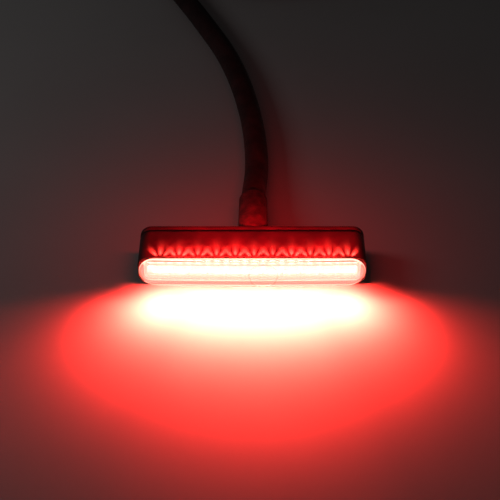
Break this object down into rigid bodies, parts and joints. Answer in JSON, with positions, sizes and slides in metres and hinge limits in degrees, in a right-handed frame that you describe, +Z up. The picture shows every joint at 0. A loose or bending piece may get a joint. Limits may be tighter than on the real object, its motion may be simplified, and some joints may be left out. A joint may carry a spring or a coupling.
{
  "type": "third brake light",
  "caption": "Slim bar-shaped LED brake lamp with a clear crowned lens, black sealed casing and a sheathed lead ending in a sealed connector.",
  "frame": {"origin": "on the resting surface under the middle of the lamp, without its lead: the middle of the lamp's bounding box in X and Y, and the underside of its adhesive pad in Z", "axes": "+X along the lamp, +Y towards its back, where the lead leaves, so the lens faces -Y, +Z up"},
  "size_m": [0.0972, 0.2591, 0.0116],
  "materials": {
    "black_plastic": "fine moulded texture, satin",
    "black_rubber": "matte sealing and boot rubber",
    "cable_sheath": "soft satin sheath",
    "foam_tape": "open-cell foam tape, matte",
    "clear_lens": "polished clear polycarbonate",
    "seal": "translucent silicone bead",
    "reflector": "vacuum-metallised plastic",
    "circuit_board": "white solder mask",
    "led_red": "white package with red light well",
    "chip_black": "moulded epoxy",
    "chip_brown": "ceramic capacitor body",
    "solder": "bright tin solder",
    "red_wire": "PVC insulation",
    "black_wire": "PVC insulation",
    "screw_steel": "stainless steel",
    "brass": "plated contact",
    "connector_plastic": "glass-filled nylon",
    "tie_fabric": "woven hook-and-loop strap"
  },
  "bodies": {
    "root": {"cable": "cable_sheath", "cable_boot": "black_rubber", "cable_coil": "cable_sheath", "cable_tail": "cable_sheath", "coil_tie_1": "tie_fabric", "coil_tie_2": "tie_fabric", "connector_boot": "black_rubber", "connector_insert": "connector_plastic", "connector_shell": "connector_plastic", "contact_ground": "brass", "contact_supply": "brass", "cover_screw_left": "screw_steel", "cover_screw_right": "screw_steel", "current_regulator": "chip_black", "filter_capacitor": "chip_brown", "ground_solder_joint": "solder", "ground_wire": "black_wire", "housing": "black_plastic", "led_01": "led_red", "led_02": "led_red", "led_03": "led_red", "led_04": "led_red", "led_05": "led_red", "led_06": "led_red", "led_07": "led_red", "led_08": "led_red", "led_09": "led_red", "led_10": "led_red", "led_11": "led_red", "led_board": "circuit_board", "lens": "clear_lens", "lens_seal": "seal", "mounting_pad": "foam_tape", "protection_diode": "chip_black", "rear_cover": "black_plastic", "rear_gasket": "black_rubber", "reflector": "reflector", "series_resistor_1": "chip_black", "series_resistor_2": "chip_black", "series_resistor_3": "chip_black", "supply_solder_joint": "solder", "supply_wire": "red_wire"}
  },
  "joints": []
}
